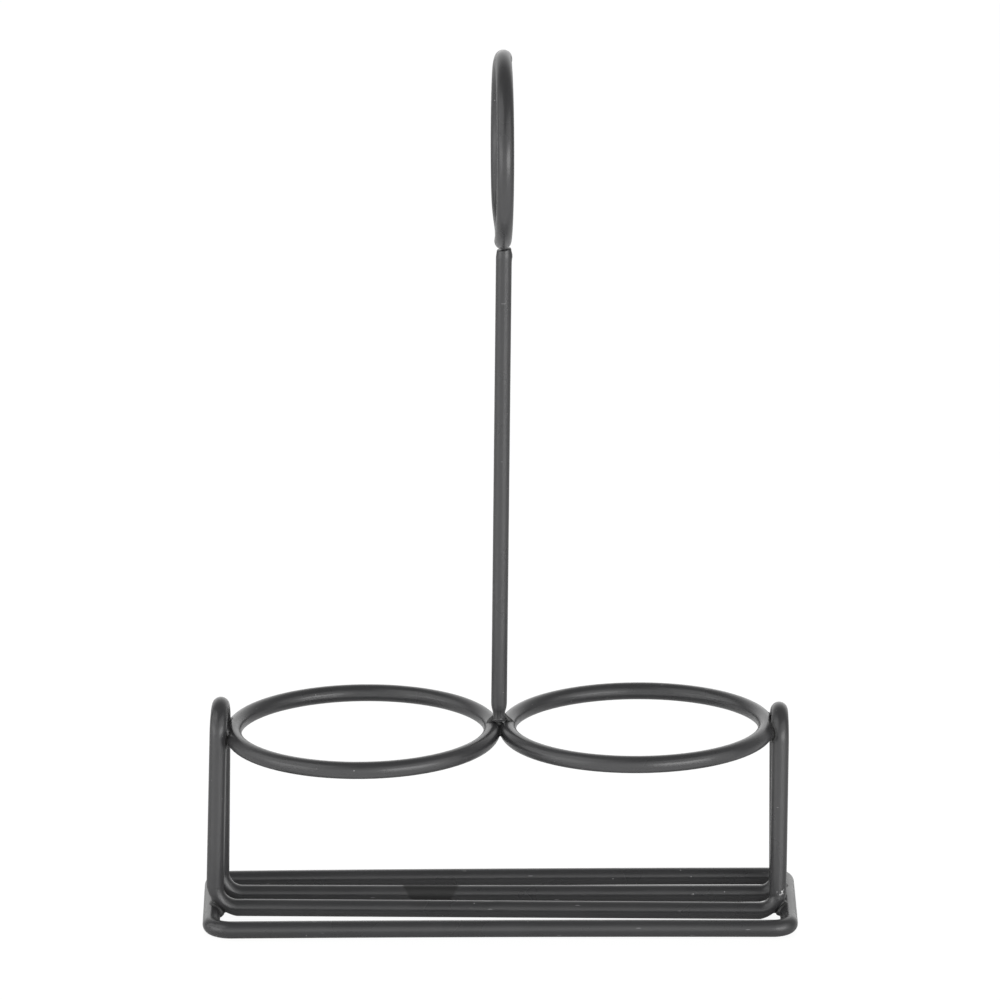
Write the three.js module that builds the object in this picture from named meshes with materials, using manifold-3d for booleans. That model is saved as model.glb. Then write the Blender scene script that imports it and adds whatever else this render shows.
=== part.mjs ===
// Cruet stand: two bottle rings and a stem with a handle loop, welded to a bent wire cradle on a wire base.
// Millimetres, +Z up. X runs along the stand, Y runs from the front to the rear, and the table is at Z = 0.

import * as THREE from 'three';
import { mergeVertices } from 'three/addons/utils/BufferGeometryUtils.js';
import Module from 'manifold-3d';

const wasm = await Module();
wasm.setup();

// Wires
const FRAME_WIRE_DIAMETER = 4.9;
const STEM_DIAMETER = 4.5;
const LOOP_WIRE_DIAMETER = 4.8;

// Bottle rings: the bore that a bottle passes through, and the height of the wire's middle over the table
const RING_BORE = 68.9;
const RING_HEIGHT = 54.4;

// Cradle: spacing of a hairpin's two legs, and how far its arch springs below the middle of the rings
const HAIRPIN_SPACING = 14;
const ARCH_DROP = 1;
const CRADLE_BEND_INSIDE_RADIUS = 3.25;
const RUNNER_LIFT = 0.6;

// Base frame: depth over the outside of the wire
const BASE_DEPTH = 52.4;
const BASE_CORNER_INSIDE_RADIUS = 2;

// Stem: its foot tapers for the weld and its top edge is broken
const STEM_LENGTH = 139;
const STEM_FOOT_TAPER = 0.7;
const STEM_FOOT_TAPER_HEIGHT = 2.4;
const STEM_TOP_CHAMFER = 0.45;
const STEM_TOP_CHAMFER_HEIGHT = 1.4;

// Handle loop: a ring on edge across the stand, turned a little about the stem
const LOOP_OUTER_DIAMETER = 56.2;
const LOOP_TURN_DEGREES = 0.65;

// Joints: how far crossing wires are pressed into each other, the clearance in the seat that this leaves
// in one of them, and the clearance between a weld and the wires it holds
const WELD_SET_DOWN = 0.3;
const JOINT_GAP = 0.25;
const WELD_GAP = 0.25;

// Welds
const RING_WELD_RADIUS = 2.5;
const BASE_WELD_RADIUS = 2.7;
const RING_SEAM_LENGTH = 12.4;
const RING_SEAM_HEIGHT = 4;
const RING_SEAM_WIDTH = 2.4;
const STEM_WELD_FLARE = 1;
const STEM_WELD_LIP = 0.3;
const STEM_WELD_HEIGHT = 1.5;
const STEM_WELD_DEPTH = 1.3;
const LOOP_WELD_RADIUS = 1.3;
const LOOP_WELD_THICKNESS = 0.25;

// Finish: satin black powder coat over steel, a little duller on the welds
const COAT_COLOUR = 0x434344;
const WIRE_ROUGHNESS = 0.5;
const WELD_ROUGHNESS = 0.65;

// Facets
const WIRE_SIDES = 16;
const CORNER_STEPS = 5;
const ARCH_STEPS = 12;
const RING_STEPS = 48;
const ROD_STEPS = 24;
const WELD_AROUND = 16;
const WELD_DOWN = 10;

// Places that follow from the sizes above
const wireRadius = FRAME_WIRE_DIAMETER / 2;
const wirePitch = FRAME_WIRE_DIAMETER - WELD_SET_DOWN;

const ringRadius = RING_BORE / 2 + wireRadius;
const ringX = ringRadius + wirePitch / 2;
const ringTop = RING_HEIGHT + wireRadius;

const archRadius = HAIRPIN_SPACING / 2;
const archSpring = RING_HEIGHT - ARCH_DROP;
const legYAtRing = Math.sqrt(archRadius ** 2 - ARCH_DROP ** 2);
const legX = ringX + Math.sqrt((ringRadius + wirePitch) ** 2 - legYAtRing ** 2);

const bendRadius = CRADLE_BEND_INSIDE_RADIUS + wireRadius;
const bendX = legX - bendRadius;
const runnerZ = wireRadius + RUNNER_LIFT;
const bendZ = runnerZ + bendRadius;

const baseZ = wireRadius;
const baseHalfWidth = bendX + Math.sqrt((bendRadius + wirePitch) ** 2 - (bendZ - baseZ) ** 2);
const baseHalfDepth = BASE_DEPTH / 2 - wireRadius;
const baseCornerRadius = BASE_CORNER_INSIDE_RADIUS + wireRadius;

const stemRadius = STEM_DIAMETER / 2;
const stemFoot = ringTop + JOINT_GAP;
const stemTop = stemFoot + STEM_LENGTH;

const loopRadius = LOOP_OUTER_DIAMETER / 2 - LOOP_WIRE_DIAMETER / 2;
const loopBottom = stemTop + LOOP_WELD_THICKNESS + 2 * WELD_GAP;
const loopZ = loopBottom + LOOP_OUTER_DIAMETER / 2;

const RIGHT = new THREE.Vector3(1, 0, 0);
const REAR = new THREE.Vector3(0, 1, 0);
const UP = new THREE.Vector3(0, 0, 1);
const LEFT = RIGHT.clone().negate();
const FRONT = REAR.clone().negate();

// A closed wire, made as on a bending machine: fed straight ahead, then bent about a centre to one side.
class BentWire {
  constructor(place, heading, up) {
    this.place = place.clone();
    this.heading = heading.clone();
    this.up = up.clone();
    this.stations = [];
  }

  mark() {
    const side = new THREE.Vector3().crossVectors(this.heading, this.up);
    this.stations.push({ place: this.place.clone(), side, up: this.up.clone() });
  }

  feed(length) {
    this.place.addScaledVector(this.heading, length);
    return this;
  }

  bend(radius, toward, angle, steps) {
    const centre = this.place.clone().addScaledVector(toward, radius);
    const axis = new THREE.Vector3().crossVectors(this.heading, toward);
    this.mark();
    for (let step = 0; step < steps; step += 1) {
      this.place.sub(centre).applyAxisAngle(axis, angle / steps).add(centre);
      this.heading.applyAxisAngle(axis, angle / steps);
      this.up.applyAxisAngle(axis, angle / steps);
      this.mark();
    }
    return this;
  }

  // The wire's sides are flats that lie at its true radius, so it has a flat underside and a flat top.
  geometry(diameter) {
    const first = this.stations[0].place;
    const last = this.stations[this.stations.length - 1].place;
    const rings = first.distanceTo(last) < 1e-6 ? this.stations.slice(0, -1) : this.stations;
    const reach = diameter / 2 / Math.cos(Math.PI / WIRE_SIDES);
    const points = [];
    const faces = [];
    rings.forEach((station, i) => {
      const next = (i + 1) % rings.length;
      for (let k = 0; k < WIRE_SIDES; k += 1) {
        const angle = (k + 0.5) * 2 * Math.PI / WIRE_SIDES;
        const point = station.place.clone();
        point.addScaledVector(station.side, reach * Math.cos(angle));
        point.addScaledVector(station.up, reach * Math.sin(angle));
        points.push(point);
        const here = i * WIRE_SIDES + k;
        const beside = i * WIRE_SIDES + (k + 1) % WIRE_SIDES;
        const ahead = next * WIRE_SIDES + k;
        const across = next * WIRE_SIDES + (k + 1) % WIRE_SIDES;
        faces.push(ahead, across, beside, ahead, beside, here);
      }
    });
    const geometry = new THREE.BufferGeometry().setFromPoints(points);
    geometry.setIndex(faces);
    geometry.computeVertexNormals();
    return geometry;
  }
}

// Base wire: a flat rectangle with tight corners, fed from the middle of its front wire
function baseWire(diameter) {
  const across = 2 * (baseHalfDepth - baseCornerRadius);
  const along = 2 * (baseHalfWidth - baseCornerRadius);
  const wire = new BentWire(new THREE.Vector3(0, -baseHalfDepth, baseZ), RIGHT, UP);
  wire.feed(along / 2).bend(baseCornerRadius, REAR, Math.PI / 2, CORNER_STEPS);
  wire.feed(across).bend(baseCornerRadius, LEFT, Math.PI / 2, CORNER_STEPS);
  wire.feed(along).bend(baseCornerRadius, FRONT, Math.PI / 2, CORNER_STEPS);
  wire.feed(across).bend(baseCornerRadius, RIGHT, Math.PI / 2, CORNER_STEPS);
  return wire.geometry(diameter);
}

// Cradle wire: front runner, right hairpin, rear runner and left hairpin, fed from the middle of the front
function cradleWire(diameter) {
  const rise = archSpring - bendZ;
  const wire = new BentWire(new THREE.Vector3(0, -archRadius, runnerZ), RIGHT, UP);
  wire.feed(bendX).bend(bendRadius, UP, Math.PI / 2, CORNER_STEPS);
  wire.feed(rise).bend(archRadius, REAR, Math.PI, ARCH_STEPS);
  wire.feed(rise).bend(bendRadius, LEFT, Math.PI / 2, CORNER_STEPS);
  wire.feed(2 * bendX).bend(bendRadius, UP, Math.PI / 2, CORNER_STEPS);
  wire.feed(rise).bend(archRadius, FRONT, Math.PI, ARCH_STEPS);
  wire.feed(rise).bend(bendRadius, RIGHT, Math.PI / 2, CORNER_STEPS);
  return wire.geometry(diameter);
}

// Ring wire on the left (end -1) or on the right (end 1), from the point that faces the front
function ringWire(end, diameter) {
  const wire = new BentWire(new THREE.Vector3(end * ringX, -ringRadius, RING_HEIGHT), RIGHT, UP);
  return wire.bend(ringRadius, REAR, 2 * Math.PI, RING_STEPS).geometry(diameter);
}

// Loop wire about its own centre, on edge, from its lowest point
function loopWire(diameter) {
  const wire = new BentWire(new THREE.Vector3(0, 0, -loopRadius), REAR, RIGHT);
  return wire.bend(loopRadius, UP, 2 * Math.PI, RING_STEPS).geometry(diameter);
}

// A solid turned about the Z axis from radius and height pairs that start and end on the axis
function turned(pairs, steps) {
  const profile = pairs.map(([radius, height]) => new THREE.Vector2(radius, height));
  return new THREE.LatheGeometry(profile, steps).rotateX(Math.PI / 2);
}

// Stem, standing on the plane Z = 0, grown all over by a clearance
function stemRod(clearance) {
  const radius = stemRadius + clearance;
  return turned([
    [0, -clearance],
    [radius - STEM_FOOT_TAPER, -clearance],
    [radius, STEM_FOOT_TAPER_HEIGHT],
    [radius, STEM_LENGTH - STEM_TOP_CHAMFER_HEIGHT],
    [radius - STEM_TOP_CHAMFER, STEM_LENGTH + clearance],
    [0, STEM_LENGTH + clearance],
  ], ROD_STEPS);
}

// Joining and cutting
function toSolid(geometry) {
  const bare = new THREE.BufferGeometry();
  bare.setAttribute('position', geometry.getAttribute('position').clone());
  bare.setIndex(geometry.getIndex().clone());
  const merged = mergeVertices(bare, 1e-4);
  const corners = Array.from(merged.getIndex().array);
  const triangles = [];
  for (let i = 0; i < corners.length; i += 3) {
    const [a, b, c] = corners.slice(i, i + 3);
    if (a !== b && b !== c && c !== a) triangles.push(a, b, c);
  }
  const vertProperties = Float32Array.from(merged.getAttribute('position').array);
  const triVerts = Uint32Array.from(triangles);
  return new wasm.Manifold(new wasm.Mesh({ numProp: 3, vertProperties, triVerts }));
}

function toGeometry(solid) {
  const mesh = solid.getMesh();
  const geometry = new THREE.BufferGeometry();
  geometry.setAttribute('position', new THREE.BufferAttribute(Float32Array.from(mesh.vertProperties), 3));
  geometry.setIndex(Array.from(mesh.triVerts));
  geometry.computeVertexNormals();
  return geometry;
}

function cutBy(blank, ...neighbours) {
  const left = neighbours.reduce((solid, neighbour) => solid.subtract(toSolid(neighbour)), blank);
  return toGeometry(left);
}

// Seats: the base's end wires take the cradle's bends, and the rings take the cradle's legs and each other.
const cradleSeat = cradleWire(FRAME_WIRE_DIAMETER + 2 * JOINT_GAP);

function seatedBase() {
  return cutBy(toSolid(baseWire(FRAME_WIRE_DIAMETER)), cradleSeat);
}

function seatedRing(end) {
  const beyond = new THREE.BoxGeometry(RING_BORE, RING_BORE, RING_BORE);
  beyond.translate(-end * (RING_BORE - JOINT_GAP) / 2, 0, RING_HEIGHT);
  return cutBy(toSolid(ringWire(end, FRAME_WIRE_DIAMETER)), cradleSeat, beyond);
}

// The wires grown by the weld clearance, which shape the welds
const grownWire = FRAME_WIRE_DIAMETER + 2 * WELD_GAP;
const baseSpace = baseWire(grownWire);
const cradleSpace = cradleWire(grownWire);
const leftRingSpace = ringWire(-1, grownWire);
const rightRingSpace = ringWire(1, grownWire);
const stemSpace = stemRod(WELD_GAP).translate(0, 0, stemFoot);
const loopTurn = THREE.MathUtils.degToRad(LOOP_TURN_DEGREES);
const loopSpace = loopWire(LOOP_WIRE_DIAMETER + 2 * WELD_GAP).rotateZ(loopTurn).translate(0, 0, loopZ);

function bead(radius, place) {
  return new THREE.SphereGeometry(radius, WELD_AROUND, WELD_DOWN).translate(place.x, place.y, place.z);
}

// Weld where a ring touches a hairpin leg: along the line from the ring's axis to the leg's
function ringWeld(end, side) {
  const outward = new THREE.Vector3(end * (legX - ringX), side * legYAtRing, 0).normalize();
  const place = new THREE.Vector3(end * ringX, 0, RING_HEIGHT);
  place.addScaledVector(outward, ringRadius + wirePitch / 2);
  const ringSpace = end < 0 ? leftRingSpace : rightRingSpace;
  return cutBy(toSolid(bead(RING_WELD_RADIUS, place)), cradleSpace, ringSpace);
}

// Weld where a cradle bend nests against an end wire of the base: along the line from the bend's centre
function baseWeld(end, side) {
  const outward = new THREE.Vector3(end * (baseHalfWidth - bendX), 0, baseZ - bendZ).normalize();
  const place = new THREE.Vector3(end * bendX, side * archRadius, bendZ);
  place.addScaledVector(outward, bendRadius + wirePitch / 2);
  return cutBy(toSolid(bead(BASE_WELD_RADIUS, place)), cradleSpace, baseSpace);
}

// Weld in the middle: the seam along the two rings, and the flared collar that holds the stem on top of them
function centreWeld() {
  const seam = new THREE.SphereGeometry(1, WELD_AROUND, WELD_DOWN).rotateX(Math.PI / 2);
  seam.scale(RING_SEAM_WIDTH / 2, RING_SEAM_LENGTH / 2, RING_SEAM_HEIGHT / 2).translate(0, 0, RING_HEIGHT);
  const foot = stemRadius + STEM_WELD_FLARE;
  const top = stemRadius + STEM_WELD_LIP;
  const collar = turned([
    [0, -STEM_WELD_DEPTH],
    [foot, -STEM_WELD_DEPTH],
    [foot, JOINT_GAP],
    [top + (foot - top) / 4, STEM_WELD_HEIGHT / 2],
    [top, STEM_WELD_HEIGHT],
    [0, STEM_WELD_HEIGHT],
  ], ROD_STEPS).translate(0, 0, ringTop);
  const blank = toSolid(seam).add(toSolid(collar));
  return cutBy(blank, leftRingSpace, rightRingSpace, stemSpace);
}

// Weld nub between the top of the stem and the handle loop, hollowed to the loop's wire
function loopWeld() {
  const height = 2 * WELD_GAP + LOOP_WELD_THICKNESS + LOOP_WELD_RADIUS / 2;
  const nub = new THREE.CylinderGeometry(LOOP_WELD_RADIUS, LOOP_WELD_RADIUS, height, WELD_AROUND);
  nub.rotateX(Math.PI / 2).translate(0, 0, stemTop + height / 2);
  return cutBy(toSolid(nub), stemSpace, loopSpace);
}

function piece(name, geometry, roughness) {
  const coat = new THREE.MeshStandardMaterial({ color: COAT_COLOUR, roughness, metalness: 0 });
  const mesh = new THREE.Mesh(geometry, coat);
  mesh.name = name;
  return mesh;
}

function wirePiece(name, geometry) {
  return piece(name, geometry, WIRE_ROUGHNESS);
}

function weldPiece(name, geometry) {
  return piece(name, geometry, WELD_ROUGHNESS);
}

const stand = new THREE.Group();
stand.add(wirePiece('base_frame', seatedBase()));
stand.add(wirePiece('cradle', cradleWire(FRAME_WIRE_DIAMETER)));
stand.add(wirePiece('left_ring', seatedRing(-1)));
stand.add(wirePiece('right_ring', seatedRing(1)));

const handle = new THREE.Group();
const loop = wirePiece('handle_loop', loopWire(LOOP_WIRE_DIAMETER));
loop.position.z = loopZ - stemFoot;
loop.rotation.z = loopTurn;
handle.add(wirePiece('stem', stemRod(0)), loop);
handle.position.z = stemFoot;
stand.add(handle);

stand.add(weldPiece('weld_base_front_left', baseWeld(-1, -1)));
stand.add(weldPiece('weld_base_rear_left', baseWeld(-1, 1)));
stand.add(weldPiece('weld_base_front_right', baseWeld(1, -1)));
stand.add(weldPiece('weld_base_rear_right', baseWeld(1, 1)));
stand.add(weldPiece('weld_ring_front_left', ringWeld(-1, -1)));
stand.add(weldPiece('weld_ring_rear_left', ringWeld(-1, 1)));
stand.add(weldPiece('weld_ring_front_right', ringWeld(1, -1)));
stand.add(weldPiece('weld_ring_rear_right', ringWeld(1, 1)));
stand.add(weldPiece('weld_centre', centreWeld()));
stand.add(weldPiece('weld_loop', loopWeld()));

export default stand;
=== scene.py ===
"""Cruet stand: a welded wire stand for two bottles, with a stem and a handle loop, coated satin black.

Lengths are in metres. X runs along the stand, Y from the front to the rear, and the table is at Z = 0.
"""

import math

import bmesh
import bpy
import numpy as np
from mathutils import Matrix, Vector


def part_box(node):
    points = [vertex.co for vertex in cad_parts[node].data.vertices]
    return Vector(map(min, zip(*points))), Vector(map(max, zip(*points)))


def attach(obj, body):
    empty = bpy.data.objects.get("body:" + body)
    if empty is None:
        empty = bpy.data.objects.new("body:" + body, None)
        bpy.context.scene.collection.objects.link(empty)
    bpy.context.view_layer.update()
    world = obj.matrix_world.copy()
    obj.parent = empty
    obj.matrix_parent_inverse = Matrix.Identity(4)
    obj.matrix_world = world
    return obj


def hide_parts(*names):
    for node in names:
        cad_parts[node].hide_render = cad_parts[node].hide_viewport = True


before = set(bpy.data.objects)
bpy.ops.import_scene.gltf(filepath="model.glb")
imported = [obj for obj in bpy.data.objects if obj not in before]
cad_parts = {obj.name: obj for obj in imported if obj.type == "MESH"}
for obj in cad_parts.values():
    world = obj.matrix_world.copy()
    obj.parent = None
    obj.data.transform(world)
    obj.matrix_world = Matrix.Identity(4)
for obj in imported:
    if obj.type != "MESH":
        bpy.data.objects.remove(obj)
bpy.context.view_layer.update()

bl_info = {
    "name": "Cruet Stand",
    "version": (1, 0, 0),
    "blender": (4, 5, 0),
    "location": "3D View > Sidebar > Cruet Stand",
    "description": "Builds a powder-coated wire cruet stand piece by piece, with its studio stage",
    "category": "Object",
}

MM = 0.001

# How finely the wires, the stem and the welds are drawn
FEED_STEP = 4 * MM
BEND_STEP = math.radians(4)
WIRE_SIDES = 40
WELD_GRID = 0.16 * MM
FIELD_SMOOTHINGS = 2

# Where the loop is sprung, from its foot and its crown toward the rear, and how widely, in radians
LOOP_SPRING_AT = 0.22
LOOP_SPRING_WIDTH = 0.33

# Radius and height of the stem's upset foot and neck, in millimetres
STEM_FOOT = (
    (1.2, 0.12), (2.0, 0.10), (2.16, 0.16), (2.23, 0.27), (2.17, 0.39), (2.02, 0.45), (1.86, 0.5),
    (1.77, 0.64), (1.72, 0.9), (1.70, 1.4), (1.71, 2.0), (1.76, 2.5), (1.86, 3.0), (1.98, 3.4),
    (2.10, 3.9), (2.19, 4.5),
)
# Height at which the neck is as wide as the rod again
STEM_SHOULDER = 5.4 * MM
# Share of the stem's radius toward its cut top, and the millimetres left to the top
STEM_HEAD = (
    (1, 4.6), (1, 3.8), (1, 3.2), (1, 2.8), (1, 2.4),
    (0.985, 1.9), (0.96, 1.4), (0.93, 0.8), (0.90, 0.25), (0.87, 0.08), (0.80, 0),
)
# Depth of the stem's slanting cut, and the burr's depth under it, half width in radians and swell
CUT_DEPTH = 3 * MM
BURR_DEPTH = 2 * MM
BURR_WIDTH = 0.7
BURR_SWELL = 0.09

# How far a weld stays under the skins it joins: in the crevice, and more away from it
WELD_SINK = 0.03 * MM
WELD_DIP = 0.2 * MM

# Middle of the darker patch on the rear runner along the stand, and of the flecks on the front right bend
DARK_PATCH_MIDDLE = -19.7 * MM
FLECK_MIDDLE = (80.0 * MM, -10.3 * MM, 8.9 * MM)

# Boxes of the wires in the frame, which give most of the sizes
BASE_LOW, BASE_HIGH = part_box("base_frame")
CRADLE_LOW, CRADLE_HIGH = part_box("cradle")
RING_LOW, RING_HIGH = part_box("left_ring")
STEM_LOW, STEM_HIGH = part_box("stem")
LOOP_LOW, LOOP_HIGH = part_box("handle_loop")
RING_OUTSIDE = RING_HIGH.y - RING_LOW.y


def length(name, description, default):
    return bpy.props.FloatProperty(
        name=name, description=description, default=default, precision=5, unit="LENGTH", subtype="DISTANCE"
    )


def angle(name, description, degrees):
    return bpy.props.FloatProperty(
        name=name, description=description, default=math.radians(degrees), precision=3, subtype="ANGLE"
    )


def share(name, description, default):
    return bpy.props.FloatProperty(
        name=name, description=description, default=default, min=0.0, max=1.0, subtype="FACTOR"
    )


def colour(name, description, default):
    return bpy.props.FloatVectorProperty(
        name=name, description=description, default=default, size=3, min=0.0, max=1.0, subtype="COLOR"
    )


class WireSizes(bpy.types.PropertyGroup):
    """Sizes and places of the wires."""

    frame_wire: length("Frame wire", "Diameter of the base, cradle and ring wire", BASE_HIGH.z - BASE_LOW.z)
    base_width: length("Base width", "Base frame over its end wires", BASE_HIGH.x - BASE_LOW.x)
    base_depth: length("Base depth", "Base frame over its front and rear wires", BASE_HIGH.y - BASE_LOW.y)
    left_corner: length("Left corners", "Bend radius of the base's left corners, at mid-wire", 5.75 * MM)
    front_corner: length("Front right corner", "Bend radius of the base's front right corner", 4.8 * MM)
    rear_corner: length("Rear right corner", "Bend radius of the base's rear right corner", 5.6 * MM)
    cradle_width: length("Cradle width", "Cradle over its hairpins", CRADLE_HIGH.x - CRADLE_LOW.x)
    cradle_depth: length("Cradle depth", "Cradle over its two runners", CRADLE_HIGH.y - CRADLE_LOW.y)
    cradle_low: length("Cradle underside", "Underside of the runners over the table", CRADLE_LOW.z)
    cradle_high: length("Cradle top", "Top of the hairpins over the table", CRADLE_HIGH.z)
    left_bend: length("Left bends", "Bend radius of the runners into the left legs", 6.4 * MM)
    right_bend: length("Right bends", "Bend radius of the runners into the right legs", 5.0 * MM)
    bend_pinch: share("Bend pinch", "Part of the half thickness lost outside the cradle's bends", 0.3)
    ring_outside: length("Ring outside", "Outside diameter of a bottle ring", RING_OUTSIDE)
    ring_offset: length("Ring offset", "Middle of a ring from the stem", -RING_LOW.x - RING_OUTSIDE / 2)
    ring_height: length("Ring height", "Rings at mid-wire over the table", (RING_LOW.z + RING_HIGH.z) / 2)
    stem_rod: length("Stem rod", "Diameter of the stem", STEM_HIGH.x - STEM_LOW.x)
    stem_foot: length("Stem foot", "Foot of the stem over the table", STEM_LOW.z)
    stem_top: length("Stem top", "Top of the stem over the table", STEM_HIGH.z)
    loop_wire: length("Loop wire", "Diameter of the handle loop's wire", 4.8 * MM)
    loop_outside: length("Loop outside", "Outside diameter of the handle loop", LOOP_HIGH.z - LOOP_LOW.z)
    loop_middle: length("Loop middle", "Middle of the loop over the table", (LOOP_LOW.z + LOOP_HIGH.z) / 2)
    loop_turn: angle("Loop turn", "Turn of the handle loop about the stem", 0.9)


class OutOfTrue(bpy.types.PropertyGroup):
    """How far the pieces were bent and welded out of true."""

    base_short: length("Base short", "Base frame narrower than it should be", 0.56 * MM)
    base_shift: length("Base shift", "Base frame to the right of the middle", 0.02 * MM)
    base_rack: angle("Base rack", "Rear wire of the base further right than the front wire", 0.79)
    base_skew: angle("Base skew", "Right end of the base's rear wire too far to the rear", 0.42)
    front_skew: angle("Front skew", "Right end of the base's front wire too far to the front", 0.15)
    base_forward: length("Base forward", "Base frame nearer the front than the rings", 0.38 * MM)
    base_bow: length("Base bow", "Middle of the front and rear wires bowed to the rear", 0.65 * MM)
    upper_shift: length("Upper shift", "Cradle, rings and stem to the right of the middle", -0.24 * MM)
    cradle_shift: length("Cradle shift", "Cradle to the right of the rings", -0.37 * MM)
    cradle_forward: length("Cradle forward", "Cradle nearer the front than the rings", 0.2 * MM)
    cradle_roll: angle("Cradle roll", "Right end of the cradle down, about the stand's depth", 0.42)
    cradle_yaw: angle("Cradle yaw", "Cradle turned about the stem", 0.05)
    left_foot_twist: angle("Left foot twist", "Feet of the left hairpin turned about its middle", -7.7)
    left_twist: angle("Left hairpin twist", "Top of the left hairpin turned about its middle", -4.7)
    right_foot_twist: angle("Right foot twist", "Feet of the right hairpin turned about its middle", -2.6)
    right_twist: angle("Right hairpin twist", "Top of the right hairpin turned about its middle", 0.3)
    left_lean: length("Left hairpin lean", "Top of the left hairpin leaning to the right", 0.52 * MM)
    right_lean: length("Right hairpin lean", "Top of the right hairpin leaning to the right", -0.35 * MM)
    left_rise: length("Left hairpin rise", "Left hairpin longer than it should be", 0.62 * MM)
    right_rise: length("Right hairpin rise", "Right hairpin longer than it should be", -0.19 * MM)
    runner_bow: length("Runner bow", "Middle of the rear runner bowed to the front", 0.45 * MM)
    left_spread: length("Left hairpin spread", "Feet of the left hairpin apart, each", -0.55 * MM)
    right_spread: length("Right hairpin spread", "Feet of the right hairpin apart, each", 1.1 * MM)
    left_ring_shift: length("Left ring shift", "Left ring to the right of its place", 0.2 * MM)
    left_ring_lift: length("Left ring lift", "Left ring over its height", -0.36 * MM)
    left_ring_roll: angle("Left ring roll", "Right side of the left ring down", -0.68)
    left_ring_pitch: angle("Left ring pitch", "Rear of the left ring up", 0.18)
    right_ring_shift: length("Right ring shift", "Right ring to the right of its place", 0.02 * MM)
    right_ring_lift: length("Right ring lift", "Right ring over its height", 0.5 * MM)
    right_ring_roll: angle("Right ring roll", "Right side of the right ring down", -0.5)
    right_ring_pitch: angle("Right ring pitch", "Rear of the right ring up", -0.7)
    stem_lean: angle("Stem lean", "Stem leaning to the right", 0.46)
    stem_shift: length("Stem shift", "Foot of the stem from between the rings", -0.17 * MM)
    stem_cut: angle("Stem cut", "Slant of the cut at the top of the stem", 9.0)
    loop_shift: length("Loop shift", "Handle loop from the top of the stem", -0.52 * MM)
    loop_lean: angle("Loop lean", "Handle loop leaning to the right", 0.27)
    loop_spring: length("Loop spring", "Rear of the loop's foot moved right, half so at its crown", 0.65 * MM)


class CoatFinish(bpy.types.PropertyGroup):
    """Colours and texture of the powder coat."""

    wire_colour: colour("Wire coat", "Satin black coat on the wires", (0.028, 0.028, 0.029))
    weld_colour: colour("Weld coat", "Duller coat over the welds", (0.021, 0.021, 0.021))
    # Colour of a darker, rougher patch with slanting ends on the rear runner
    dark_patch_colour: colour("Dark patch", "Darker, rougher patch on the rear runner", (0.008, 0.008, 0.008))
    mark_colour: colour("Marks", "Dust and rubbed places on the coat", (0.30, 0.30, 0.30))
    wire_roughness: share("Wire roughness", "Roughness of the coat on the wires", 0.30)
    weld_roughness: share("Weld roughness", "Roughness of the coat over the welds", 0.44)
    peel_size: length("Peel size", "Width of the orange-peel waves in the coat", 1.1 * MM)
    peel_depth: length("Peel depth", "Depth of the orange-peel waves", 0.012 * MM)


class StudioStage(bpy.types.PropertyGroup):
    """Floor, light and camera."""

    floor_colour: colour("Floor", "Colour of the floor", (0.90, 0.90, 0.90))
    camera_azimuth: angle("Camera azimuth", "Camera round the stand from straight in front", -1.155)
    camera_elevation: angle("Camera elevation", "Camera over the horizon", 16.138)
    camera_roll: angle("Camera roll", "Camera turned about its own axis", 0.139)
    camera_distance: length("Camera distance", "Camera from its target", 3.3631)
    camera_target: length("Camera target", "Height of the point the camera looks at", 0.12246)
    camera_side: length("Camera side", "Point the camera looks at, to the right of the middle", -0.24 * MM)
    camera_lens: bpy.props.FloatProperty(
        name="Camera lens", description="Focal length in millimetres", default=427.3
    )


# Middle lines of the wires

RIGHT = Vector((1, 0, 0))
REAR = Vector((0, 1, 0))
UP = Vector((0, 0, 1))


class WireRun:
    """Middle line of a wire as a bending machine makes it: fed straight ahead, then bent to one side."""

    def __init__(self, start, heading):
        self.at = Vector(start)
        self.heading = heading.copy()
        self.points = [self.at.copy()]

    def feed(self, run):
        steps = max(1, math.ceil(run / FEED_STEP))
        for _ in range(steps):
            self.at = self.at + self.heading * (run / steps)
            self.points.append(self.at.copy())
        return self

    def bend(self, radius, toward, turn):
        centre = self.at + toward * radius
        steps = math.ceil(turn / BEND_STEP)
        step = Matrix.Rotation(turn / steps, 3, self.heading.cross(toward))
        for _ in range(steps):
            self.at = centre + step @ (self.at - centre)
            self.heading = step @ self.heading
            self.points.append(self.at.copy())
        return self

    def closed(self):
        return np.array(self.points[:-1])


def set_out(points, pivot, pitch=0.0, roll=0.0, yaw=0.0, shift=(0, 0, 0)):
    """Points turned a little about a pivot and shifted, as a piece that was welded out of true."""
    turn = Matrix.Rotation(yaw, 3, "Z") @ Matrix.Rotation(roll, 3, "Y") @ Matrix.Rotation(pitch, 3, "X")
    pivot = np.array(pivot)
    return (points - pivot) @ np.array(turn).T + pivot + np.array(shift)


def base_run(sizes, true):
    half = sizes.frame_wire / 2
    width = (sizes.base_width - true.base_short) / 2 - half
    depth = sizes.base_depth / 2 - half
    left, front, rear = sizes.left_corner, sizes.front_corner, sizes.rear_corner
    run = WireRun((0, -depth, half), RIGHT)
    run.feed(width - front).bend(front, REAR, math.pi / 2)
    run.feed(2 * depth - front - rear).bend(rear, -RIGHT, math.pi / 2)
    run.feed(2 * width - rear - left).bend(left, -REAR, math.pi / 2)
    run.feed(2 * (depth - left)).bend(left, RIGHT, math.pi / 2)
    run.feed(width - left)
    points = run.closed()
    points[:, 1] += true.base_bow * (1 - (points[:, 0] / width) ** 2) - true.base_forward
    points[:, 0] += true.base_shift + math.tan(true.base_rack) * points[:, 1]
    rearward = np.clip((points[:, 1] + depth) / (2 * depth), 0, 1)
    rear_skew = math.tan(true.base_skew) * rearward
    front_skew = math.tan(true.front_skew) * (1 - rearward)
    points[:, 1] += points[:, 0] * (rear_skew - front_skew)
    return points


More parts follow.
